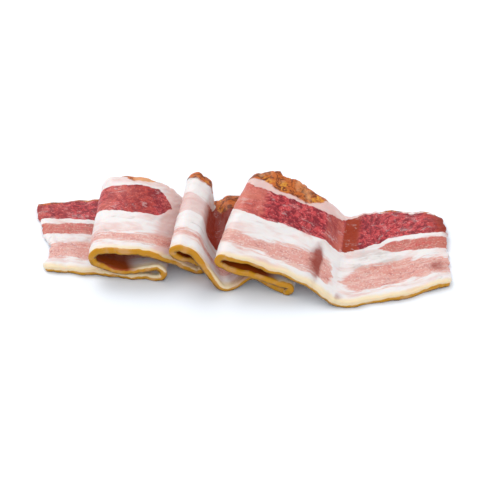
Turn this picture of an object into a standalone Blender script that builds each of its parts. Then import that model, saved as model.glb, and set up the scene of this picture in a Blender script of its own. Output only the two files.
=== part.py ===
"""A rasher of streaky bacon, folded back and forth over itself where it lies.

Each long edge of the strip is followed as a belt follows its pulleys: a straight run,
then an arc round the next bend, and so on from the left end to the right. The two edges
have their own pulleys, so a fold can lean, rise or open towards one side. Straight
lines across from edge to edge make the middle surface, and half the thickness of the
meat on each side of it makes the solid.
"""

import math
from collections import namedtuple

import bpy
import numpy as np

THICKNESS = 2.4  # mm, of the slice
ARC_STEP = 14.0  # degrees of bend for each row of vertices
RUN_STEP = 5.0  # mm of straight strip for each row of vertices
ACROSS = 8  # faces from the rind edge to the far edge
CHORDS = 24  # chords in each bend, before its rows are chosen
Y_BLEND = 9.0  # mm of strip over which a change of sideways drift is rounded

# A point is x along the folded rasher, y away from the rind side and z up, all in mm.
# A bend's fourth number is its radius to the middle of the slice.
# heading is the direction of travel at the bend's point, in degrees: 0 to the right,
# 90 straight up, 180 back to the left. turn is +1 for a bend to the left of that
# direction, as in a fold that comes back over the top, and -1 for one to its right.
Bend = namedtuple("Bend", "name heading turn near far")

START = Bend("left_end", 0, 1, (-71.5, 21.9, 1.2, 0.0), (-76.4, 57.0, 1.2, 0.0))
END = Bend("right_end", 0, 1, (75.4, 14.2, 1.2, 0.0), (73.8, 52.0, 1.2, 0.0))
BENDS = (
    Bend("heel", 0, -1, (-58.0, 20.0, 1.2, 40.0), (-58.0, 61.0, 1.2, 40.0)),
    Bend("fold_1", 90, 1, (-28.2, 15.8, 3.8, 2.6), (-26.5, 54.0, 4.4, 3.2)),
    Bend("sag_1", 180, -1, (-42.0, 16.5, 4.2, 8.0), (-40.0, 54.0, 5.8, 9.0)),
    Bend("loop_1", 90, -1, (-53.8, 17.0, 10.2, 3.3), (-50.6, 53.4, 13.9, 3.6)),
    Bend("brow_1", 0, -1, (-40.0, 16.4, 13.7, 20.0), (-40.0, 51.5, 17.4, 24.0)),
    Bend("fold_2", 90, 1, (-13.6, 20.5, 3.6, 2.2), (-14.6, 50.0, 6.0, 2.2)),
    Bend("loop_2", 90, -1, (-24.7, 13.5, 15.1, 2.6), (-18.9, 49.5, 19.4, 2.4)),
    Bend("brow_2", -30, -1, (-18.0, 13.0, 16.2, 5.0), (-14.2, 48.5, 20.4, 4.5)),
    Bend("foot_2", 0, 1, (-4.6, 9.6, 1.2, 4.5), (-9.0, 48.0, 9.2, 2.0)),
    Bend("hump_3", 0, -1, (4.0, 15.0, 4.2, 5.0), (-5.0, 52.0, 10.6, 3.0)),
    Bend("fold_3", 90, 1, (17.5, 7.4, 3.1, 1.9), (28.0, 51.0, 5.2, 1.6)),
    Bend("loop_3", 90, -1, (-8.4, 12.5, 12.8, 2.3), (3.8, 50.0, 18.9, 2.8)),
    Bend("brow_3", -20, -1, (3.0, 10.8, 13.5, 12.0), (14.0, 50.0, 20.0, 12.0)),
    Bend("step_top", -20, -1, (25.0, 6.4, 7.2, 4.0), (30.0, 46.5, 13.0, 10.0)),
    Bend("step_foot", 0, 1, (35.0, 1.0, 1.2, 7.0), (43.0, 43.0, 5.2, 7.0)),
    Bend("tail", 0, 1, (58.0, 6.4, 1.2, 30.0), (58.0, 53.8, 1.2, 30.0)),
)

STOPS = (START, *BENDS, END)

COLOUR = (0.62, 0.27, 0.24, 1.0)
ROUGHNESS = 0.4
MM = 0.001
UP = math.pi / 2


def pulley(bend, edge):
    """Centre (x, z) and radius of the circle that one edge follows round a bend."""
    x, _, z, radius = getattr(bend, edge)
    heading = math.radians(bend.heading)
    side = bend.turn * radius
    return np.array([x - side * math.sin(heading), z + side * math.cos(heading)]), radius


def run_heading(first, second, edge):
    """Heading of the straight run that touches both circles, from -90 to 270 degrees."""
    start, start_radius = pulley(first, edge)
    stop, stop_radius = pulley(second, edge)
    x, z = stop - start
    lean = math.asin((first.turn * start_radius - second.turn * stop_radius) / math.hypot(x, z))
    return (math.atan2(z, x) + lean + UP) % (2 * math.pi) - UP


def on_bend(bend, edge, headings):
    """The points (x, z) where one edge has these headings on its way round a bend."""
    centre, radius = pulley(bend, edge)
    side = bend.turn * radius
    return centre + side * np.stack([np.sin(headings), -np.cos(headings)], axis=-1)


def edge_line(edge):
    """One edge as a fine line: its points (x, z), and the first and last index of each bend.

    A bend is an arc of many short chords, and a straight run is one chord."""
    headings = [run_heading(*pair, edge) for pair in zip(STOPS, STOPS[1:])]
    before = [headings[0], *headings]
    after = [*headings, headings[-1]]
    fraction = np.linspace(0, 1, CHORDS + 1)
    arcs = [
        on_bend(bend, edge, start + fraction * (stop - start))
        for bend, start, stop in zip(STOPS, before, after)
    ]
    turned = np.abs(np.subtract(after, before))
    return np.concatenate(arcs), turned


def edge_rows(lines):
    """Where the rows of vertices cross each edge, as fractions of its fine line.

    Rows are spread evenly by effort, which counts both the length passed and the angle
    turned, so a tight fold gets as many as it needs and a straight run only a few."""
    efforts = {}
    for edge, (points, turned) in lines.items():
        length = np.hypot(*np.diff(points, axis=0).T)
        bending = np.zeros(len(length))
        for k, angle in enumerate(turned):
            bending[k * (CHORDS + 1) : k * (CHORDS + 1) + CHORDS] = angle / CHORDS
        effort = length / RUN_STEP + bending / math.radians(ARC_STEP)
        efforts[edge] = np.append(0, np.cumsum(effort))
    middles = np.arange(len(STOPS)) * (CHORDS + 1) + CHORDS // 2
    middles[-1] = len(STOPS) * (CHORDS + 1) - 1
    middles[0] = 0
    spans = np.max([np.diff(effort[middles]) for effort in efforts.values()], axis=0)
    counts = np.maximum(1, np.ceil(spans)).astype(int)
    return efforts, middles, counts


def edge_points(edge, lines, efforts, middles, counts):
    """One edge in space, a point for each row.

    Its y drifts from bend to bend with the length of strip passed."""
    points = lines[edge][0]
    effort = efforts[edge]
    marks = effort[middles]
    at = [
        np.linspace(start, stop, count, endpoint=False)
        for start, stop, count in zip(marks, marks[1:], counts)
    ]
    at = np.append(np.concatenate(at), marks[-1])
    passed = np.append(0, np.cumsum(np.hypot(*np.diff(points, axis=0).T)))
    drift = [getattr(bend, edge)[1] for bend in STOPS]
    y = eased(np.interp(at, effort, passed), passed[middles], drift)
    x, z = (np.interp(at, effort, column) for column in points.T)
    return np.stack([x, y, z], axis=-1)


def eased(at, known, values):
    """Straight lines between the known values, with each corner rounded over Y_BLEND."""
    shifts = np.linspace(-Y_BLEND, Y_BLEND, 21)
    weights = 1 + np.cos(math.pi * shifts / Y_BLEND)
    lines = [np.interp(at + shift, known, values) for shift in shifts]
    return np.average(lines, axis=0, weights=weights)


def middle_surface():
    """The middle of the slice: rows along the strip, columns from near edge to far."""
    lines = {edge: edge_line(edge) for edge in ("near", "far")}
    spread = edge_rows(lines)
    near = edge_points("near", lines, *spread)
    far = edge_points("far", lines, *spread)
    across = np.linspace(0, 1, ACROSS + 1)[None, :, None]
    return near[:, None] * (1 - across) + far[:, None] * across


def normals_of(surface):
    """Unit normals of a grid of points, on the upper side of the left end."""
    along = np.gradient(surface, axis=0)
    across = np.gradient(surface, axis=1)
    normals = np.cross(along, across)
    return normals / np.linalg.norm(normals, axis=-1, keepdims=True)


def slab(surface, thickness):
    """Vertices and faces of the closed solid that has this grid as its middle."""
    rows, columns = surface.shape[:2]
    offset = normals_of(surface) * thickness / 2
    points = np.concatenate([surface + offset, surface - offset]).reshape(-1, 3)
    top = np.arange(rows * columns).reshape(rows, columns)
    bottom = top + rows * columns
    faces = [quads(top), quads(bottom)[:, ::-1]]
    rim = np.concatenate([top[:-1, 0], top[-1, :-1], top[:0:-1, -1], top[0, :0:-1]])
    under = rim + rows * columns
    faces.append(np.stack([rim, under, np.roll(under, -1), np.roll(rim, -1)], axis=-1))
    return points, np.concatenate(faces)


def quads(index):
    """The four corners of each cell of a grid of vertex numbers, anticlockwise from above."""
    corners = [index[:-1, :-1], index[1:, :-1], index[1:, 1:], index[:-1, 1:]]
    return np.stack(corners, axis=-1).reshape(-1, 4)


def centred(points):
    """The points moved so that the middle of the underside of their box is the origin."""
    low, high = points.min(axis=0), points.max(axis=0)
    return points - [(low[0] + high[0]) / 2, (low[1] + high[1]) / 2, low[2]]


def meat_material():
    material = bpy.data.materials.new("cured_pork")
    material.use_nodes = True
    shader = material.node_tree.nodes["Principled BSDF"]
    shader.inputs["Base Color"].default_value = COLOUR
    shader.inputs["Roughness"].default_value = ROUGHNESS
    shader.inputs["Metallic"].default_value = 0.0
    return material


def main():
    for old in list(bpy.data.objects):
        bpy.data.objects.remove(old, do_unlink=True)
    points, faces = slab(middle_surface(), THICKNESS)
    mesh = bpy.data.meshes.new("rasher")
    mesh.from_pydata((centred(points) * MM).tolist(), [], faces.tolist())
    mesh.materials.append(meat_material())
    mesh.shade_smooth()
    mesh.set_sharp_from_angle(angle=math.radians(50))
    rasher = bpy.data.objects.new("rasher", mesh)
    bpy.context.scene.collection.objects.link(rasher)


if __name__ == "__main__":
    main()
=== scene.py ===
# %% [markdown]
# # A folded rasher of streaky bacon
#
# One long slice of cured pork belly lies on a white surface, folded back and forth into
# three loops with a flat tail. This lesson builds its looks around a solid that already
# has the right size: first the shape of the slice, worked out as one big grid of points,
# then the bands of lean and fat, then light and a camera.

# %% Load the solid
import math

import bpy
import numpy as np
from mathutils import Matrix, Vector


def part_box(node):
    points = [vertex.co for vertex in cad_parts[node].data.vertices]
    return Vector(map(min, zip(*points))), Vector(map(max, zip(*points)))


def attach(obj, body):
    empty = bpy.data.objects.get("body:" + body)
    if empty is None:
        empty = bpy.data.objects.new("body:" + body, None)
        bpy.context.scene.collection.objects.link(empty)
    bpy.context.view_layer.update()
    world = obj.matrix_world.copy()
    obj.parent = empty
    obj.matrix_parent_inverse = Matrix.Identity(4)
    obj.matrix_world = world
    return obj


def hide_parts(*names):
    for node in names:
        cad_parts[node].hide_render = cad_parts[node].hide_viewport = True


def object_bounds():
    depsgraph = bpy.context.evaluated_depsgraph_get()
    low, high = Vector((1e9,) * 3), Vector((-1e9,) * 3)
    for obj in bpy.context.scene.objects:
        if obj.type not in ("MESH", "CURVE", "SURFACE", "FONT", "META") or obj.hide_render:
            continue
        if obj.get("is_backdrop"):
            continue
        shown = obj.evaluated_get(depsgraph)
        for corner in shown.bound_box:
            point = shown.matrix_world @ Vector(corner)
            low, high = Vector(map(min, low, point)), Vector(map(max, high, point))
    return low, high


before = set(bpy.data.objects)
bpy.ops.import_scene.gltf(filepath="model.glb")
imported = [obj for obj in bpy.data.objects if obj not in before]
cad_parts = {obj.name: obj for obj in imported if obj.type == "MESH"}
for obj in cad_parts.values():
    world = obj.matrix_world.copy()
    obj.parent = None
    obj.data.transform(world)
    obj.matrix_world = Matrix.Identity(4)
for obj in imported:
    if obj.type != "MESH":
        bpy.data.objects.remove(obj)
solid_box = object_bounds()
MM = 0.001
low, high = (np.array(corner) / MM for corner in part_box("rasher"))
print("the solid measures", np.round(high - low, 1), "mm")

# %% [markdown]
# ## The route of the strip
#
# A slice of bacon is a flat strip, so its shape is settled by where its two long edges
# run. Each edge could be a drawn curve, but a fold is easier to think of as a belt round
# a pulley: straight runs that touch one circle after another. Every stop in the table is
# one circle, given for the near edge with the rind and for the far edge, by a point that
# the edge passes through, the direction in which it passes, and the radius.

# %% The stops along the strip
# (name, heading in degrees, turn, near x y z radius, far x y z radius), all lengths in mm
STOPS = (
    ("left_end", 0, 1, (-71.5, 21.9, 1.2, 0.0), (-76.4, 57.0, 1.2, 0.0)),
    ("heel", 0, -1, (-58.0, 20.0, 1.2, 40.0), (-58.0, 61.0, 1.2, 40.0)),
    ("fold_1", 90, 1, (-28.2, 15.8, 3.8, 2.6), (-26.5, 54.0, 4.4, 3.2)),
    ("sag_1", 180, -1, (-42.0, 16.5, 4.2, 8.0), (-40.0, 54.0, 5.8, 9.0)),
    ("loop_1", 90, -1, (-53.8, 17.0, 10.2, 3.3), (-50.6, 53.4, 13.9, 3.6)),
    ("brow_1", 0, -1, (-40.0, 16.4, 13.7, 20.0), (-40.0, 51.5, 17.4, 24.0)),
    ("fold_2", 90, 1, (-13.6, 20.5, 3.6, 2.2), (-14.6, 50.0, 6.0, 2.2)),
    ("loop_2", 90, -1, (-24.7, 13.5, 15.1, 2.6), (-18.9, 49.5, 19.4, 2.4)),
    ("brow_2", -30, -1, (-18.0, 13.0, 16.2, 5.0), (-14.2, 48.5, 20.4, 4.5)),
    ("foot_2", 0, 1, (-4.6, 9.6, 1.2, 4.5), (-9.0, 48.0, 9.2, 2.0)),
    ("hump_3", 0, -1, (4.0, 15.0, 4.2, 5.0), (-5.0, 52.0, 10.6, 3.0)),
    ("fold_3", 90, 1, (17.5, 7.4, 3.1, 1.9), (28.0, 51.0, 5.2, 1.6)),
    ("loop_3", 90, -1, (-8.4, 12.5, 12.8, 2.3), (3.8, 50.0, 18.9, 2.8)),
    ("brow_3", -20, -1, (3.0, 10.8, 13.5, 12.0), (14.0, 50.0, 20.0, 12.0)),
    ("step_top", -20, -1, (25.0, 6.4, 7.2, 4.0), (30.0, 46.5, 13.0, 10.0)),
    ("step_foot", 0, 1, (35.0, 1.0, 1.2, 7.0), (43.0, 43.0, 5.2, 7.0)),
    ("tail", 0, 1, (58.0, 6.4, 1.2, 30.0), (58.0, 53.8, 1.2, 30.0)),
    ("right_end", 0, 1, (75.4, 14.2, 1.2, 0.0), (73.8, 52.0, 1.2, 0.0)),
)
print(len(STOPS), "stops from", STOPS[0][0], "to", STOPS[-1][0])

# %% [markdown]
# ## From stops to two edges
#
# A straight run touches both of its circles. Its direction is the direction from centre
# to centre, leaned by the angle whose sine is the difference of the signed radii over
# the distance. The arcs then follow from the directions before and after each stop.

# %% Follow the belt round its circles
CHORDS = 24


def circle(stop, edge):
    """Centre: the stop's point moved one radius square to the heading. Also the radius."""
    _, heading, turn = stop[:3]
    x, _, z, radius = stop[3 + edge]
    angle = math.radians(heading)
    centre = np.array([x - turn * radius * math.sin(angle), z + turn * radius * math.cos(angle)])
    return centre, turn * radius


def run_heading(first, second, edge):
    """Direction from centre to centre, plus the arcsine of (r1 - r2) / distance."""
    (start, start_radius), (stop, stop_radius) = circle(first, edge), circle(second, edge)
    x, z = stop - start
    lean = math.asin((start_radius - stop_radius) / math.hypot(x, z))
    return (math.atan2(z, x) + lean + math.pi / 2) % (2 * math.pi) - math.pi / 2


def belt(edge):
    """Arcs centre + r (sin a, -cos a) between the headings of the runs on both sides."""
    runs = [run_heading(*pair, edge) for pair in zip(STOPS, STOPS[1:])]
    before, after = np.array([runs[0], *runs]), np.array([*runs, runs[-1]])
    share = np.linspace(0, 1, CHORDS + 1)
    arcs = []
    for stop, start, end in zip(STOPS, before, after):
        centre, radius = circle(stop, edge)
        angle = start + share * (end - start)
        arcs.append(centre + radius * np.stack([np.sin(angle), -np.cos(angle)], axis=-1))
    return np.concatenate(arcs), np.abs(after - before)


belts = [belt(edge) for edge in (0, 1)]
for name, (points, _) in zip(("near", "far"), belts):
    print(name, "edge:", round(float(np.hypot(*np.diff(points, axis=0).T).sum())), "mm long")

# %% [markdown]
# ## Rows across the strip
#
# The grid needs a row of points wherever the strip bends, and few on the flat. So the
# rows are spread by effort: the length passed plus the angle turned. A little smoothing
# along the rows then takes away the sudden change from straight run to arc, which no
# soft slice of meat would show.

# %% Spread the rows
RUN_STEP = 0.9  # mm between rows on a straight run
ARC_STEP = math.radians(9)  # turn between rows in a fold
SOFTEN = 4  # rows that the smoothing reaches to each side
Y_BLEND = 9.0  # mm of strip over which the sideways drift is eased
WINDOW_STEPS = 21  # places at which the easing looks


def effort_along(points, turned):
    """Running total of length / RUN_STEP + angle / ARC_STEP."""
    length = np.hypot(*np.diff(points, axis=0).T)
    bending = np.zeros((len(STOPS), CHORDS + 1))
    bending[:, :CHORDS] = turned[:, None] / CHORDS
    return np.append(0, np.cumsum(length / RUN_STEP + bending.ravel()[:-1] / ARC_STEP))


def rounded(at, known, values, width):
    """Straight lines between known values, averaged over a window with a cosine edge."""
    shifts = np.linspace(-width, width, WINDOW_STEPS)
    lines = [np.interp(at + shift, known, values) for shift in shifts]
    return np.average(lines, axis=0, weights=1 + np.cos(math.pi * shifts / width))


def softened(rows, reach):
    """Each row averaged with its neighbours in a bell-shaped window; the ends stay put."""
    window = np.hanning(2 * reach + 3)[1:-1]
    padded = np.concatenate([
        2 * rows[:1] - rows[reach:0:-1], rows, 2 * rows[-1:] - rows[-2 : -reach - 2 : -1]
    ])
    columns = [np.convolve(column, window / window.sum(), "valid") for column in padded.T]
    return np.stack(columns, axis=-1)


efforts = [effort_along(*one) for one in belts]
middles = np.arange(len(STOPS)) * (CHORDS + 1) + CHORDS // 2
middles[[0, -1]] = 0, len(efforts[0]) - 1
spans = np.max([np.diff(effort[middles]) for effort in efforts], axis=0)
counts = np.maximum(1, np.ceil(spans)).astype(int)
place = np.concatenate([
    k + np.arange(count) / count for k, count in enumerate(counts)
] + [[len(counts)]])


def edge_in_space(edge):
    """x and z from the belt, y drifting from stop to stop with the length passed."""
    points = belts[edge][0]
    at = np.interp(place, np.arange(len(STOPS)), efforts[edge][middles])
    passed = np.append(0, np.cumsum(np.hypot(*np.diff(points, axis=0).T)))
    drift = [stop[3 + edge][1] for stop in STOPS]
    y = rounded(np.interp(at, efforts[edge], passed), passed[middles], drift, Y_BLEND)
    x, z = (np.interp(at, efforts[edge], column) for column in points.T)
    return softened(np.stack([x, y, z], axis=-1), SOFTEN)


near, far = edge_in_space(0), edge_in_space(1)
along = np.append(0, np.cumsum(np.linalg.norm(np.diff((near + far) / 2, axis=0), axis=1)))
width = np.linalg.norm(far - near, axis=1)
print(len(place), "rows;", round(along[-1]), "mm of strip,", np.round(width.mean(), 1), "mm wide")

# %% [markdown]
# ## Uneven meat
#
# Nothing on a slice of meat is ruled straight. A smooth random wave can be made without
# any stored noise: add up a dozen cosine waves of about the same length that run in
# random directions. A fixed seed keeps the same bacon every time.

# %% A smooth random wave
WAVES = 12
CALM = 4  # the sum is divided by this, which keeps most of it between -1 and 1
EASE = 0.12  # how far a value is eased round each stop, in stops


def ripple(x, y, size, seed):
    """Sum of WAVES cosines with wavelengths near size, divided by CALM."""
    rng = np.random.default_rng(seed)
    angle = rng.uniform(0, 2 * math.pi, WAVES)
    waves = 2 * math.pi / (size * rng.uniform(0.7, 1.5, WAVES))
    phase = rng.uniform(0, 2 * math.pi, WAVES)
    total = np.zeros(np.broadcast(x, y).shape)
    for a, k, p in zip(angle, waves, phase):
        total = total + np.cos(k * (np.cos(a) * x + np.sin(a) * y) + p)
    return total / CALM


def at_stops(*pairs):
    """A value for each row, eased between (stop number, value) pairs."""
    known, values = np.array(pairs, float).T
    return rounded(place, known, values, EASE)[:, None]


sample = ripple(along, 0, 6, 1)
print("a sample ripple runs from", np.round(sample.min(), 2), "to", np.round(sample.max(), 2))

# %% [markdown]
# ## The middle of the slice
#
# Straight lines from edge to edge give the first surface. A point on it is known by two
# numbers: how far along the strip it lies, and how far across. Real edges aren't ruled,
# so both wander by a few tenths of a millimetre, and the browned far margin of the third
# loop is frilled much more. Only the columns near an edge follow it.

# %% Lay out the middle surface
COLUMNS = 72
EDGE_POWER = 6
s = along[:, None]  # mm along the strip
t = np.linspace(0, 1, COLUMNS + 1)[None, :]  # across it, 0 at the rind and 1 at the far edge
w = t * width[:, None]  # mm across it, from the rind

near_wander = 0.3 * ripple(s, 0, 9, 11) + 0.15 * ripple(s, 0, 2.6, 12)
far_wander = 0.4 * ripple(s, 0, 8, 13) + 0.2 * ripple(s, 0, 2.4, 14)
frill = at_stops(
    (0, 0), (4, 0), (5, 0.3), (5.3, 0), (7, 0.2), (8, 0.4), (8.4, 0), (11, 0), (12, 0),
    (12.6, 0.25), (12.95, 1), (13.1, 0.5), (13.4, 0.8), (13.7, 0), (17, 0),
)
frill_reach = 2.0 + 1.3 * ripple(s, 0, 7, 15) + 0.7 * ripple(s, 0, 2.8, 16)
far_reach = far_wander + frill * frill_reach
moved = near_wander * (1 - t) ** EDGE_POWER + far_reach * t**EDGE_POWER
share = t + moved / width[:, None]
middle = near[:, None] * (1 - share[..., None]) + far[:, None] * share[..., None]
print("middle surface:", middle.shape[0], "x", middle.shape[1], "points")
print("the far edge wanders by up to", np.round(np.abs(far_reach).max(), 1), "mm")

# %% [markdown]
# ## Torn ends
#
# Both ends of the slice are ragged. They could be cut out of the mesh, but a shift along
# the strip keeps the grid whole: a line through a few points, roughened by ripples, that
# dies away within a centimetre of the end.

# %% Tear the ends
# (place across the strip, mm along it)
LEFT_TEAR = (
    (0, -1.2), (0.05, 0), (0.15, -2.4), (0.36, -3.6), (0.44, -2.6), (0.52, -1.4),
    (0.75, -1.2), (0.81, 0), (1, 0),
)
RIGHT_TEAR = ((0, -0.4), (0.1, 0), (0.5, 0), (0.7, 1.2), (0.9, 0.6), (1, -1.4))
TEAR_DEPTH = 5.0


def torn(tear, from_end, seed):
    """Line through the points plus two ripples, times e to the -(distance / depth) squared."""
    shift = np.interp(t[0], *np.array(tear, float).T)
    shift = shift + 0.35 * ripple(w[0], 0, 3, seed) + 0.15 * ripple(w[0], 0, 1.4, seed + 1)
    return shift[None, :] * np.exp(-((from_end / TEAR_DEPTH) ** 2))


def unit(vectors):
    """Each vector divided by its own length."""
    return vectors / np.linalg.norm(vectors, axis=-1, keepdims=True)


ragged = torn(RIGHT_TEAR, s[-1] - s, 21) - torn(LEFT_TEAR, s, 23)
middle = middle + unit(np.gradient(middle, axis=0)) * ragged[..., None]
print("the ends are torn by up to", np.round(np.abs(ragged).max(), 1), "mm")

# %% [markdown]
# ## Bow, swell and curl
#
# A loop of soft meat bows out between its two edges. Where the strip lies free it also
# waves slowly in and out, and the frilled margin curls up. Each is a distance that
# grows and fades from stop to stop.

# %% Bend the middle surface
CURL_START = 0.86
CURL_WIDTH = 0.14
bow = at_stops(
    (0, 0), (3, 0), (4, 0.5), (5, 0), (7, 0.4), (8, 0.2), (8.5, 1.8), (9.1, 1.4), (9.6, 0),
    (11.4, 0), (12, 1.5), (12.6, 0.6), (13, 0), (17, 0),
)
free = at_stops(
    (0, 0.5), (1, 0.3), (2, 0.1), (4.4, 0.1), (5, 0.5), (5.7, 0.3), (6, 0.1), (8, 0.3),
    (12.3, 0.1), (13, 0.6), (14, 0.7), (15, 0.6), (16, 0.8), (17, 0.6),
)


def normals(surface):
    """Unit cross product of the directions along and across the strip."""
    return unit(np.cross(np.gradient(surface, axis=0), np.gradient(surface, axis=1)))


middle[..., 0] -= bow * 4 * t * (1 - t)
swell = free * (0.6 * ripple(s, w, 22, 31) + 0.3 * ripple(s, w, 9, 32))
at_margin = np.clip((t - CURL_START) / CURL_WIDTH, 0, 1) ** 2
curl = frill * (1.6 + 0.9 * ripple(s, 0, 8, 33)) * at_margin
middle = middle + normals(middle) * (swell + curl)[..., None]
print("swell and curl reach", np.round(np.abs(swell + curl).max(), 1), "mm")

# %% [markdown]
# ## Where lean and fat run
#
# Streaky bacon has three bands of lean that run the length of the slice. They could be
# painted, but they follow the strip, so each is given by where it starts and stops
# between rind (0) and far edge (1) at a few stops. The mesh carries, for every point,
# how far inside a band it lies, in mm; the material later cuts that into crisp edges.

# %% Measure the bands
# (stop number, where the band starts across the strip, where it stops)
FAR_LEAN = (
    (0, 0.77, 1.0), (1, 0.70, 1.02), (2, 0.66, 0.97), (3, 0.60, 0.93), (4, 0.55, 0.86),
    (4.9, 0.52, 0.92), (5, 0.54, 0.90), (5.1, 0.62, 0.85), (5.2, 0.76, 0.73), (6, 0.66, 0.62),
    (6.6, 0.56, 0.66), (7, 0.49, 0.76),
    (8, 0.51, 0.73), (8.5, 0.46, 0.85), (9, 0.40, 0.93), (10, 0.44, 0.94), (11, 0.50, 0.92),
    (12, 0.61, 0.94), (13, 0.49, 0.80), (13.5, 0.52, 0.83), (14, 0.52, 0.85), (15, 0.56, 0.97),
    (15.5, 0.60, 0.99), (16, 0.67, 0.99), (17, 0.70, 0.99),
)
MID_LEAN = (
    (0, 0.52, 0.69), (1, 0.49, 0.65), (2, 0.48, 0.58), (3, 0.46, 0.50), (4, 0.44, 0.38),
    (15, 0.53, 0.44), (15.7, 0.56, 0.55), (16, 0.49, 0.63), (17, 0.48, 0.64),
)
NEAR_LEAN = (
    (0, 0.13, 0.39), (1, 0.12, 0.40), (2, 0.13, 0.37), (3, 0.12, 0.34), (4, 0.10, 0.24),
    (5, 0.11, 0.28), (5.6, 0.10, 0.30), (6, 0.14, 0.30), (7, 0.20, 0.28), (8, 0.17, 0.26),
    (9, 0.10, 0.30), (10, 0.12, 0.34), (12, 0.20, 0.38), (13, 0.10, 0.27), (13.5, 0.10, 0.32),
    (14, 0.08, 0.38), (14.5, 0.10, 0.36),
    (14.75, 0.24, 0.16), (15.05, 0.2, 0.24), (15.4, 0.08, 0.40), (16, 0.11, 0.39), (17, 0.14, 0.39),
)

BAND_EASE = 0.1  # in stops


def inside(band):
    """Distance in mm to the nearer border of a band, negative outside it."""
    number, start, stop = np.array(band, float).T
    start = rounded(place, number, start, BAND_EASE)[:, None]
    stop = rounded(place, number, stop, BAND_EASE)[:, None]
    return np.minimum(t - start, stop - t) * width[:, None]


bands = {
    "far_lean": inside(FAR_LEAN),
    "mid_lean": inside(MID_LEAN),
    "near_lean": inside(NEAR_LEAN),
}
for name, values in bands.items():
    print(name, "covers", round(100 * float((values > 0).mean())), "% of the slice")

# %% [markdown]
# ## What comes and goes along the strip
#
# The lean isn't equally red on every loop, and rind, crust and painted shade come and go.
# Every point carries one number for each of these, eased from stop to stop, so that a
# single material serves the whole slice. Depth is the redness of the lean, and warmth
# turns it to amber, in part as painted shade. Crust is the width of the browned margin
# and gilt the height of the golden rind on the rim, both in mm. Hollow paints shade as
# tan on the underside inside the loops, blush pinks the fat, in part as painted shade,
# and glaze paints a grey shade on the fat of the tail.

# %% Ease them from stop to stop
HOLLOW_SHADE_FADE = 14  # mm from the rind over which the tan fades
FAR_FAT_START, FAR_FAT_WIDTH = 0.68, 0.12
GREY_SHADE_CENTRE, GREY_SHADE_BREADTH = 0.42, 0.14
depth = at_stops(
    (0, 0.75), (1, 0.95), (4, 0.6), (5, 0.95), (5.25, 0.6), (6, 0.3), (7, -0.15), (8, -0.2),
    (8.3, 0.0), (8.45, 0.45), (11, 0.9), (12, 0.35), (12.9, 0.5), (13.1, 1.15), (14, 1.15),
    (14.1, 0.65), (14.8, 0.5), (15, 0.9), (15.3, 0.8), (15.4, 1.05), (17, 1.05),
)
# From stop 8.4 to 10 warmth paints shade as amber on the steep flank of the second loop and in the wedge
# beyond it.
warmth_and_shade = at_stops(
    (0, 0.45), (0.6, 0.1), (4.45, 0.1), (4.6, 0.5), (4.9, 0.5), (5, 0.1), (7, 0.35), (8, 0.4),
    (8.4, 0.8), (9, 0.8), (10, 0.7), (12, 0.1), (14, 0), (14.12, 0.5), (14.7, 0.4), (14.85, 0.1),
    (14.97, 1.3), (15.28, 1.3), (15.4, 0), (16.6, 0), (16.85, 0.5), (17, 0.9),
)
crust = at_stops(
    (0, 0.6), (2, 0.5), (4, -1), (4.45, -1), (4.5, 1.4), (4.8, 1.6), (4.9, -0.6), (6, -1),
    (7, 2.0), (8, 2.4), (8.4, 0.6), (9, 3.0), (9.5, 6.5), (10, 7.0), (11, 1.0), (12, 1.6),
    (12.6, 2.6), (12.95, 6.0), (13.2, 6.4), (13.6, 6.6), (13.8, 3.4), (14, -0.3), (15.3, -0.6),
    (16, 0.2), (17, 0.5),
)
gilt = at_stops(
    (0, 0), (1.8, 0.1), (2, 0.4), (3.2, 0.5), (3.7, 1.6), (4.8, 1.4), (5.5, 0.7), (6.3, 0.7),
    (6.8, 1.8), (7.6, 2.2), (8.2, 1.4), (8.5, 0.3), (9.6, 0.3), (10.3, 1.0), (11.3, 1.3),
    (11.8, 1.8), (12.4, 1.5), (12.8, 0.6), (14, 0), (15.4, -0.1), (16, 0.4), (17, 0.5),
)
# Hollow paints shade: tan on the underside inside the loops and at the foot of the second loop.
hollow_shade = at_stops(
    (0, 0), (2.6, 0), (3.0, 0.8), (4.2, 1), (5.4, 1), (6, 0.8), (8.4, 1), (9, 0.5), (10, 0.3),
    (11.25, 0), (11.5, 0.95), (12.1, 1), (13.4, 1), (14, 0.4), (14.4, 0), (17, 0),
)
# From stop 5.15 to 6, on the slope that turns down from the first loop, the strong pink is partly painted
# shade.
blush_and_shade = at_stops((0, 0), (5, 0.1), (5.15, 1.1), (6, 0.9), (6.5, 0), (17, 0))
far_blush = at_stops((0, 0), (12, 0.2), (13, 1.2), (14, 1), (15, 0.4), (17, 0))
blush_and_shade = blush_and_shade + far_blush * np.clip((t - FAR_FAT_START) / FAR_FAT_WIDTH, 0, 1)
# Glaze paints a grey shade across the middle of the fat on the tail.
grey_shade = at_stops((0, 0), (15.2, 0), (15.5, 1), (15.9, 0.8), (16.3, 0), (17, 0))
grey_shade = grey_shade * np.exp(-(((t - GREY_SHADE_CENTRE) / GREY_SHADE_BREADTH) ** 2))
print("the browned margin is up to", crust.max(), "mm wide")
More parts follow.
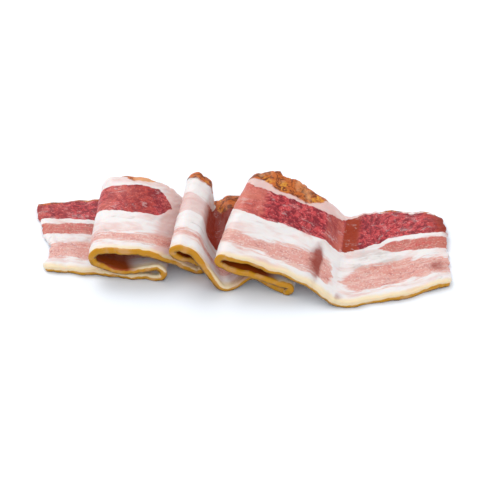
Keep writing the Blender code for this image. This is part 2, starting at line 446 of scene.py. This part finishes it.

# %% [markdown]
# ## Stains and painted shade
#
# Juice leaves dark red spots with a soft outline, and the same spots paint shade in a few
# places. Each spot is a bell curve along the strip and across it, and where spots overlap
# they add up.

# %% Add up the stains and the painted shade
# (stop number, place across, reach in stops, reach across, strength)
# The spots at stops 14.02, 9.4, 9.9, 10 and 12.95 are painted shade: the steep side before the step, the
# foot of the second loop, the wedge and the bridge under the third loop, and a crease in the third loop's
# fat.
STAINS_AND_SHADE = (
    (14.02, 0.26, 0.18, 0.2, 1.5), (15.05, 0.05, 0.14, 0.05, 0.7), (16.8, 0.24, 0.2, 0.09, 0.8),
    (14.9, 0.40, 0.08, 0.1, 0.3), (9.9, 0.78, 0.7, 0.28, 1.5), (5.35, 0.45, 0.1, 0.3, 0.3),
    (2, 0.2, 0.6, 0.2, 0.3), (10, 0.0, 0.5, 0.3, 0.7), (12.95, 0.44, 0.16, 0.008, 0.7),
    (17.0, 0.85, 0.08, 0.25, 1.0), (9.4, 0.1, 0.3, 0.15, 0.5),
)
stain_and_shade = sum(
    amount * np.exp(-(((place[:, None] - number) / reach) ** 2) - ((t - centre) / breadth) ** 2)
    for number, centre, reach, breadth, amount in STAINS_AND_SHADE
)
from_far = (1 - t) * width[:, None]
fields = {
    **bands,
    "depth": depth + 0 * t,
    "warmth_and_shade": warmth_and_shade + 0 * t,
    "crust": crust - from_far,
    "hollow_shade": hollow_shade * np.exp(-w / HOLLOW_SHADE_FADE),
    "gilt": gilt + 0 * t,
    "blush_and_shade": blush_and_shade + 0 * t,
    "stain_and_shade": stain_and_shade,
    "grey_shade": grey_shade,
}
for name, values in fields.items():
    print(f"{name}: {values.min():.1f} to {values.max():.1f}")

# %% [markdown]
# ## Thickness
#
# The middle surface is moved half a thickness up and down its normal. A Solidify
# modifier would do that evenly, but here the lean lies slightly lower than the fat
# beside it, the far edge and the cut ends thin out, and the rind is a little thicker.

# %% Give the slice its thickness
THICKNESS = 2.4
LEAN_DIP = 0.12
LEAN_BORDER = 0.5
THIN_EDGE = 0.72
THIN_REACH = 1.2
RIND_SWELL = 1.16
RIND_REACH = 3.0
normal = normals(middle)
in_lean = sum(0.5 + 0.5 * np.tanh(values / LEAN_BORDER) for values in bands.values())
relief = 0.06 * ripple(s, w, 2.8, 41) + 0.05 * ripple(s, w, 1.7, 42)
half = THICKNESS / 2 * (1 + 0.08 * ripple(s, w, 12, 43)) - LEAN_DIP * in_lean + relief
from_edge = np.minimum(from_far, np.minimum(s, s[-1] - s))
half = half * (THIN_EDGE + (1 - THIN_EDGE) * np.clip(from_edge / THIN_REACH, 0, 1) ** 0.5)
half = np.maximum(half, THICKNESS / 2 * RIND_SWELL * np.exp(-w / RIND_REACH))
top = middle + normal * half[..., None]
bottom = middle - normal * half[..., None]
print("the slice is", np.round(2 * half.min(), 1), "to", np.round(2 * half.max(), 1), "mm thick")

# %% [markdown]
# ## The rim
#
# One row of flat faces round the sides would look like cut card. So a rounded profile,
# a little squarer than a half circle, is carried round all four sides from the border of
# the top to the border of the bottom, and that closes the slice.

# %% Close the slice
RIM_STEPS = 6
RIM_BULGE = 0.8
RIM_POWER = 0.7  # under 1, so squarer than a half circle
rows, columns = middle.shape[:2]
index = np.arange(rows * columns).reshape(rows, columns)
rim = np.concatenate([index[:-1, 0], index[-1, :-1], index[:0:-1, -1], index[0, :0:-1]])


def at_rim(grid):
    """The values of a grid at its border, in order round the four sides."""
    return grid.reshape(rows * columns, -1)[rim]


swing = np.linspace(math.pi / 2, -math.pi / 2, RIM_STEPS + 2)[1:-1]
rim_middle, rim_normal, rim_half = at_rim(middle), at_rim(normal), at_rim(half)
travel = unit(np.roll(rim_middle, -1, axis=0) - np.roll(rim_middle, 1, axis=0))
outward = unit(np.cross(travel, rim_normal))
loops = [
    rim_middle + outward * RIM_BULGE * math.cos(a) ** RIM_POWER + rim_normal * rim_half * math.sin(a)
    for a in swing
]
points = np.concatenate([top.reshape(-1, 3), bottom.reshape(-1, 3), *loops])


def quads(cells):
    """The corners of every cell of a grid of point numbers."""
    corners = [cells[:-1, :-1], cells[1:, :-1], cells[1:, 1:], cells[:-1, 1:]]
    return np.stack(corners, axis=-1).reshape(-1, 4)


size = rows * columns
ring = len(rim)
rings = [rim, *(2 * size + k * ring + np.arange(ring) for k in range(RIM_STEPS)), rim + size]
wall = np.stack([np.append(one, one[0]) for one in rings])
faces = np.concatenate([quads(index), quads(index + size)[:, ::-1], quads(wall)])
print(len(points), "points,", 2 * len(faces), "triangles")

# %% [markdown]
# ## Into the frame
#
# The strip was drawn round its own zero. The solid stands on the origin, so the mesh is
# moved by the difference between the two middles, worked out from the plain edges.

# %% Put the mesh in place
FLOOR_GAP = 0.02
edges = np.concatenate([near, far])
drawn = (edges.min(axis=0) + edges.max(axis=0)) / 2
shift = [(low[0] + high[0]) / 2 - drawn[0], (low[1] + high[1]) / 2 - drawn[1], 0.0]
points = points + shift
points[:, 2] = np.maximum(points[:, 2], FLOOR_GAP)

mesh = bpy.data.meshes.new("bacon_slice")
mesh.from_pydata((points * MM).tolist(), [], faces.tolist())
mesh.shade_smooth()
slice_of_bacon = bpy.data.objects.new("bacon_slice", mesh)
bpy.context.scene.collection.objects.link(slice_of_bacon)

print("the mesh has", len(mesh.vertices), "points")

# %% [markdown]
# ## What every point carries
#
# The material has to know where on the strip it is. The strip vector holds the distance
# along, the distance across and the height above the middle surface, all in mm. A fold
# turns the strip over, so crown is that height counted towards the sky: positive on the
# side that faces up, negative on the side that faces down, and none where it stands.

# %% Write the fields to the mesh
CROWN_GAIN = 2


def spread(values):
    """The same value on top, underneath and on every loop of the rim."""
    flat = values.reshape(-1)
    return np.concatenate([flat, flat, np.tile(flat[rim], RIM_STEPS)])


for name, values in fields.items():
    made = mesh.attributes.new(name, "FLOAT", "POINT")
    made.data.foreach_set("value", spread(values).astype(np.float32))
rim_level = np.concatenate([rim_half[:, 0] * math.sin(a) for a in swing])
level = np.concatenate([half.ravel(), -half.ravel(), rim_level])
skyward = level * spread(np.clip(normal[..., 2] * CROWN_GAIN, -1, 1))
made = mesh.attributes.new("crown", "FLOAT", "POINT")
made.data.foreach_set("value", skyward.astype(np.float32))
strip = np.stack([spread(s + 0 * t), spread(w), level], axis=-1)
made = mesh.attributes.new("strip", "FLOAT_VECTOR", "POINT")
made.data.foreach_set("vector", strip.astype(np.float32).ravel())
print("points carry", [name for name in mesh.attributes.keys() if not name.startswith(".")])

# %% [markdown]
# ## Writing a material as sums
#
# Node trees get hard to read when they are built link by link. This small class wraps a
# socket, so that `1 - mask` or `wave * 0.5 + base` adds the Math nodes by itself. One
# method makes every other kind of node.

# %% Sockets that can be added and multiplied


class Wire:
    """An output socket that makes Math nodes when it is used in arithmetic."""

    def __init__(self, bench, socket):
        self.bench = bench
        self.socket = socket

    def math(self, operation, first, second):
        return self.bench.node("ShaderNodeMath", {"operation": operation}, {0: first, 1: second})

    def __add__(self, other):
        return self.math("ADD", self, other)

    def __sub__(self, other):
        return self.math("SUBTRACT", self, other)

    def __rsub__(self, other):
        return self.math("SUBTRACT", other, self)

    def __mul__(self, other):
        return self.math("MULTIPLY", self, other)

    __radd__ = __add__
    __rmul__ = __mul__

    def apart(self, other):
        """The distance between two values."""
        return self.bench.node("ShaderNodeMath", {"operation": "ABSOLUTE"}, {0: self - other})

    def step(self, start, stop):
        """0 below start, 1 above stop, eased between."""
        settings = {"interpolation_type": "SMOOTHSTEP"}
        values = {0: self, 1: start, 2: stop, 3: 0.0, 4: 1.0}
        return self.bench.node("ShaderNodeMapRange", settings, values)


class Bench:
    """One material's node tree, and the few ways in which this lesson adds to it."""

    def __init__(self, name):
        self.material = bpy.data.materials.new(name)
        self.material.use_nodes = True
        self.tree = self.material.node_tree
        self.shader = self.tree.nodes["Principled BSDF"]

    def node(self, kind, settings=None, values=None, out=0):
        """A new node: its settings first, then the values or links of its sockets."""
        made = self.tree.nodes.new(kind)
        for name, value in (settings or {}).items():
            setattr(made, name, value)
        for socket, value in (values or {}).items():
            self.feed(made.inputs[socket], value)
        return Wire(self, made.outputs[out])

    def feed(self, socket, value):
        """A link for a Wire, a fixed value for anything else."""
        if isinstance(value, Wire):
            self.tree.links.new(value.socket, socket)
        else:
            socket.default_value = value

    def field(self, name, out="Fac"):
        """A number or a vector that the mesh carries."""
        return self.node("ShaderNodeAttribute", {"attribute_name": name}, out=out)

    def stretched(self, vector, x, y, z):
        """The place times one factor per axis: a small factor draws a pattern out."""
        settings = {"operation": "MULTIPLY"}
        return self.node("ShaderNodeVectorMath", settings, {0: vector, 1: (x, y, z)})

    def noise(self, vector, scale, detail=3.0, roughness=0.55, warp=0.0):
        """Cloudy values round 0.5, with scale as the number of clouds per mm."""
        values = {"Vector": vector, "Scale": scale, "Detail": detail}
        values.update({"Roughness": roughness, "Distortion": warp})
        return self.node("ShaderNodeTexNoise", {}, values)

    def dots(self, vector, scale):
        """The distance to the nearest of many scattered points."""
        values = {"Vector": vector, "Scale": scale}
        return self.node("ShaderNodeTexVoronoi", {}, values, out="Distance")

    def mix(self, share, first, second):
        """The first colour where the share is 0, the second where it is 1."""
        settings = {"data_type": "RGBA"}
        return self.node("ShaderNodeMix", settings, {0: share, 6: first, 7: second}, out=2)


def colour(red, green, blue):
    """A screen colour from 0 to 255 as the linear values that shaders work in."""
    shares = np.array([red, green, blue]) / 255
    curve = np.where(shares <= 0.04045, shares / 12.92, ((shares + 0.055) / 1.055) ** 2.4)
    return (*curve.tolist(), 1.0)


# %% [markdown]
# ## Raw streaky bacon
#
# Lean meat is crimson and flecked with light dots, the fat is white with a blush of
# pink, the rind is golden and the far edge browned. They share a few noises: a slow one
# that makes borders wander, a fine one that gives them teeth, and blotches and flecks
# for the colours. The fine one is drawn out along the strip, as the grain of meat is.

# %% Noise that the finishes share
meat = Bench("streaky_bacon")
strip_place = meat.field("strip", "Vector")
grain = meat.stretched(strip_place, 0.35, 1.0, 1.0)
wander = meat.noise(strip_place, 0.16, detail=2.0) - 0.5
tooth = meat.noise(grain, 1.1, detail=3.0) - 0.5
blotch = meat.noise(strip_place, 0.09, detail=3.0)
fleck = meat.noise(strip_place, 1.9, detail=4.0, roughness=0.7)
dot = meat.dots(strip_place, 1.15)
patchy = meat.noise(strip_place, 0.25, detail=2.0)
clotted = meat.stretched(strip_place, 0.8, 1.0, 1.0)
mottle = meat.noise(clotted, 0.55, detail=5.0, roughness=0.75, warp=0.6)
print("shared noise:", len(meat.tree.nodes), "nodes")

# %% [markdown]
# ## Where the lean begins
#
# Every border is a distance in mm that the mesh carries, moved by noise and then cut
# sharply, because marbling is crisp but never straight. A step names the distance where
# a mask begins and the one where it is full. The far band is sharp and has thin veins of
# fat, and the near one is broken up by streaks.

# %% Cut the bands of lean
LEAST_PRESENCE = 0.25
NEAR_STRENGTH = 0.8
VEIN_STRENGTH = 0.3
presence = meat.field("depth").step(-0.35, 0.35) * (1 - LEAST_PRESENCE) + LEAST_PRESENCE
far_mask = (meat.field("far_lean") + wander * 2.0 + tooth * 1.6).step(-0.15, 0.25) * presence
mid_mask = (meat.field("mid_lean") + wander * 1.4 + tooth * 1.4).step(-0.2, 0.5)
broken = meat.noise(grain, 0.55, detail=4.0, roughness=0.65) - 0.5
long_place = meat.stretched(strip_place, 0.16, 1.1, 0.6)
streaks = meat.noise(long_place, 0.9, detail=3.0, roughness=0.6) - 0.5
near_field = meat.field("near_lean") + wander * 1.5 + broken * 3.0 + streaks * 9.0
near_mask = near_field.step(-0.4, 1.8) * NEAR_STRENGTH

vein_place = meat.stretched(strip_place, 0.07, 0.22, 0.2)
vein = meat.noise(vein_place, 1.0, detail=5.0, roughness=0.65, warp=0.4)
veins = vein.apart(0.5).step(0.03, 0.0) * patchy.step(0.5, 0.62)
far_mask = far_mask * (1 - veins * VEIN_STRENGTH)
print("with the masks:", len(meat.tree.nodes), "nodes")

# %% [markdown]
# ## Lean meat
#
# The far band goes from salmon through rose to crimson with its depth, and a noise lets
# the deepest red through in clots. A fine net and scattered dots of fat lighten it, and
# warmth turns it to amber, which on the steep flank of the second loop and in the wedge
# beyond it is painted shade. The near band is softer: pink, with bloody patches and many
# pale dots. The middle band is mixed from both.

# %% Colours of the lean
CRIMSON = colour(122, 16, 32)
ROSE = colour(190, 62, 66)
SALMON = colour(200, 118, 98)
SPECK = colour(224, 134, 130)
AMBER_AND_SHADE = colour(146, 42, 4)
PINK_LEAN = colour(204, 124, 108)
BLOODY = colour(168, 66, 62)
PALE_DOT = colour(220, 184, 170)

tone = (meat.field("depth") + (blotch - 0.5) * 1.1).step(0.15, 1.0)
net = meat.noise(strip_place, 0.7, detail=2.0, warp=0.8).apart(0.5)
netted = net.step(0.035, 0.0) * patchy.step(0.4, 0.6) * 0.4
dotted = dot.step(0.36, 0.14) * mottle.step(0.4, 0.6) * 0.7
# Amber, partly painted shade on the flank of the second loop and in the wedge beyond it.
warmed_and_shaded = (meat.field("warmth_and_shade") + (mottle - 0.5) * 1.2).step(0.1, 1.1)
lean = meat.mix(tone, SALMON, ROSE)
lean = meat.mix(tone * mottle.step(0.58, 0.44), lean, CRIMSON)
lean = meat.mix(netted, lean, SPECK)
lean = meat.mix(dotted, lean, SPECK)
lean = meat.mix(warmed_and_shaded, lean, AMBER_AND_SHADE)

soft_lean = meat.mix(mottle.step(0.5, 0.66), PINK_LEAN, BLOODY)
soft_lean = meat.mix(dot.step(0.5, 0.2) * fleck.step(0.35, 0.6) * 0.9, soft_lean, PALE_DOT)
soft_lean = meat.mix(streaks.step(-0.05, 0.2) * 0.6, soft_lean, PALE_DOT)
print("with the lean:", len(meat.tree.nodes), "nodes")

# %% [markdown]
# ## Fat
#
# Cold fat is white. It is pinked in clouds where juice has soaked in, and more on the slope
# below the first loop, where the pink is partly painted shade. It has a few glassy grey
# streaks and a grey patch of painted shade on the tail, and turns to cream in the last
# millimetres beside the rind.

# %% Colours of the fat
WHITE_FAT = colour(223, 218, 216)
BLUSH_AND_SHADE = colour(214, 182, 176)
GLASSY_GREY_AND_SHADE = colour(184, 172, 166)
CREAM = colour(226, 204, 158)
width_place = meat.node("ShaderNodeSeparateXYZ", {}, {0: strip_place}, out=1)
level_place = meat.node("ShaderNodeSeparateXYZ", {}, {0: strip_place}, out=2)
cloud = meat.noise(grain, 0.22, detail=4.0, warp=0.5)
pinked_and_shaded = (cloud + meat.field("blush_and_shade") * 0.3).step(0.45, 0.75)
streaked = meat.noise(grain, 0.3, detail=3.0, warp=1.0).step(0.6, 0.74) * 0.6
# Glassy streaks, plus a painted grey shade on the tail.
glassy_and_grey_shade = streaked + meat.field("grey_shade") * cloud.step(0.3, 0.6)
fat = meat.mix(pinked_and_shaded, WHITE_FAT, BLUSH_AND_SHADE)
fat = meat.mix(glassy_and_grey_shade.step(0.0, 1.0), fat, GLASSY_GREY_AND_SHADE)
fat = meat.mix((width_place + wander * 2.0).step(2.6, 0.2) * 0.8, fat, CREAM)
print("with the fat:", len(meat.tree.nodes), "nodes")

# %% [markdown]
# ## Layer on layer
#
# The masks now lay the bands of lean over the fat, one after another. Stains and painted
# shade come on top, and the underside inside the loops is painted tan as shade, where the
# real slice is shaded and a little light shines through it.

# %% Lay lean, stains and painted shade over the fat
STAIN_AND_SHADE = colour(132, 36, 14)
SHADED_TAN = colour(150, 62, 8)
STAIN_AND_SHADE_STRENGTH = 0.9
skin = meat.mix(near_mask, fat, soft_lean)
skin = meat.mix(mid_mask, skin, meat.mix(0.4, soft_lean, lean))
skin = meat.mix(far_mask, skin, lean)
# Stains and painted shade, cut from the summed spots.
stain_and_shade_mask = (meat.field("stain_and_shade") * (mottle + wander + 0.5)).step(0.1, 1.1)
skin = meat.mix(stain_and_shade_mask * STAIN_AND_SHADE_STRENGTH, skin, STAIN_AND_SHADE)
# Painted shade: tan on the underside inside the loops.
shaded_underside = (level_place + tooth).step(0.5, -0.6)
skin = meat.mix((meat.field("hollow_shade") * shaded_underside).step(0.1, 0.65), skin, SHADED_TAN)
print("with the stains:", len(meat.tree.nodes), "nodes")

# %% [markdown]
# ## Rind
#
# The near edge is the rind side, a golden rim with tan patches. Gilt says how high up the
# rim the gold reaches, and on the side that faces down the rind is painted darker, to
# olive, as shade.

# %% The golden rind
GOLD = colour(190, 132, 10)
TAN = colour(196, 146, 84)
SHADED_OLIVE = colour(80, 52, 6)
crown = meat.field("crown")
rind = meat.mix(meat.noise(strip_place, 0.2, detail=3.0).step(0.48, 0.66), GOLD, TAN)
# Painted shade: the rind darkens to olive on the side of the rim that faces down.
rind = meat.mix((crown + tooth * 2.2).step(0.0, -1.4) * 0.9, rind, SHADED_OLIVE)
above = crown - meat.field("gilt") - 0.3 + wander * 1.4 + tooth * 1.2
rind_mask = (width_place * 1.6 + above).step(0.25, -0.25)
skin = meat.mix(rind_mask, skin, rind)
print("with the rind:", len(meat.tree.nodes), "nodes")

# %% [markdown]
# ## The browned margin
#
# The far edge is browned unevenly: brown and toasted clots, some brass where fat shows
# through, and pale patches. The crust field says how far inside the margin a point lies.

# %% The browned margin
BROWN = colour(190, 98, 34)
TOAST = colour(112, 50, 12)
BRASS = colour(210, 146, 44)
PALE_BROWN = colour(214, 158, 112)
browned = meat.mix(mottle.step(0.46, 0.58), BROWN, TOAST)
browned = meat.mix(patchy.step(0.5, 0.7) * mottle.step(0.56, 0.42), browned, BRASS)
browned = meat.mix(blotch.step(0.56, 0.7) * 0.8, browned, PALE_BROWN)
crust_mask = (meat.field("crust") + wander * 3.0 + tooth * 2.0).step(-0.3, 0.6)
skin = meat.mix(crust_mask, skin, browned)
meat.feed(meat.shader.inputs["Base Color"], skin)
print("with the browned margin:", len(meat.tree.nodes), "nodes")

# %% [markdown]
# ## Gloss and relief
#
# Raw bacon is moist, with a thin wet film in places, and light sinks a little way into
# fat and flesh. Both come from the shader. The bump is only for what is finer than the
# mesh: grain, dots and the roughness of the crust.

# %% Gloss, depth and bump
lean_mask = far_mask + mid_mask * 0.8 + near_mask * 0.7
meat.feed(meat.shader.inputs["Roughness"], 0.36 + lean_mask * 0.08 + fleck * 0.12)
meat.feed(meat.shader.inputs["Coat Weight"], 0.04 + blotch * 0.16)
height = fleck * 0.5 + lean_mask * (dot * 0.6 - 0.3) + crust_mask * tooth * 1.5 + tooth * 0.3
bump = meat.node("ShaderNodeBump", {}, {"Strength": 0.5, "Distance": 0.00035, "Height": height})
meat.feed(meat.shader.inputs["Normal"], bump)
for socket, value in (
    ("Coat Roughness", 0.18),
    ("Subsurface Weight", 0.22),
    ("Subsurface Scale", 0.0022),
    ("Subsurface Radius", (1.0, 0.35, 0.22)),
    ("IOR", 1.42),
    ("Specular IOR Level", 0.3),
):
    meat.shader.inputs[socket].default_value = value
mesh.materials.append(meat.material)
print("the meat uses", len(meat.tree.nodes), "nodes")

# %% [markdown]
# ## Stand-in out, slice in
#
# The fine slice takes the place of the plain solid, which stays behind for collisions.

# %% Take the solid's place
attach(slice_of_bacon, "root")
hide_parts("rasher")
print(slice_of_bacon.name, "stands for the rasher")

# %% [markdown]
# ## The white surface
#
# A matt sheet, wide enough to fill the view from every side. It is a very pale blue
# white, and bright, so that only the soft shadows close to the meat show on it.

# %% Floor
FLOOR_REACH = 3.0
corners = [(x * FLOOR_REACH, y * FLOOR_REACH, 0.0) for x, y in ((-1, -1), (1, -1), (1, 1), (-1, 1))]
floor_mesh = bpy.data.meshes.new("white_surface")
floor_mesh.from_pydata(corners, [], [(0, 1, 2, 3)])
floor = bpy.data.objects.new("white_surface", floor_mesh)
bpy.context.scene.collection.objects.link(floor)
paper = Bench("matt_white")
paper.shader.inputs["Base Color"].default_value = (0.86, 0.90, 0.95, 1.0)
paper.shader.inputs["Roughness"].default_value = 0.9
paper.shader.inputs["Specular IOR Level"].default_value = 0.1
floor_mesh.materials.append(paper.material)
floor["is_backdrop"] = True
print("floor", 2 * FLOOR_REACH, "m across")

# %% [markdown]
# ## Light
#
# Most of the light comes from the bright room itself, from all sides. One large soft
# light high up behind the left end lifts the tops of the loops and gives the folds a
# shaded side, and a much weaker one from the front keeps the hollows readable.

# %% Lights
world = bpy.data.worlds.new("bright_room")
bpy.context.scene.world = world
world.use_nodes = True
world.node_tree.nodes["Background"].inputs["Color"].default_value = (0.97, 0.98, 1.0, 1.0)
world.node_tree.nodes["Background"].inputs["Strength"].default_value = 1.0


def soft_light(name, position, size, power):
    """A square area light that points at the middle of the rasher."""
    data = bpy.data.lights.new(name, "AREA")
    data.size = size
    data.energy = power
    lamp = bpy.data.objects.new(name, data)
    lamp.location = position
    lamp.rotation_euler = (-Vector(position)).to_track_quat("-Z", "Y").to_euler()
    bpy.context.scene.collection.objects.link(lamp)


soft_light("key", position=(-0.45, 0.55, 0.95), size=0.7, power=5.5)
soft_light("fill", position=(0.5, -0.7, 0.6), size=0.9, power=0.6)
bpy.context.scene.view_settings.view_transform = "Standard"
print("two soft lights in a bright room")

# %% [markdown]
# ## Camera
#
# A long lens from 0.8 m away, 40 degrees above the surface, with the rasher across the
# middle of the view.

# %% Camera
ELEVATION = math.radians(40)
DISTANCE = 0.8
LENS = 161.0
SENSOR = 36.0
AIM = Vector((0.0005, 0.0072, 0.0))
camera_data = bpy.data.cameras.new("camera")
camera_data.lens = LENS
camera_data.sensor_width = SENSOR
camera = bpy.data.objects.new("camera", camera_data)
camera.location = AIM + DISTANCE * Vector((0, -math.cos(ELEVATION), math.sin(ELEVATION)))
camera.rotation_euler = (math.pi / 2 - ELEVATION, 0, 0)
bpy.context.scene.collection.objects.link(camera)
bpy.context.scene.camera = camera
print("camera", round(camera.location.length, 3), "m from the origin")

# %% Print the sizes and finish
made_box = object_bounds()
sizes = {"solid": [list(corner) for corner in solid_box], "visual": [list(corner) for corner in made_box]}
for name, (a, b) in sizes.items():
    print(name, [round((q - p) * 1000, 1) for p, q in zip(a, b)], "mm")
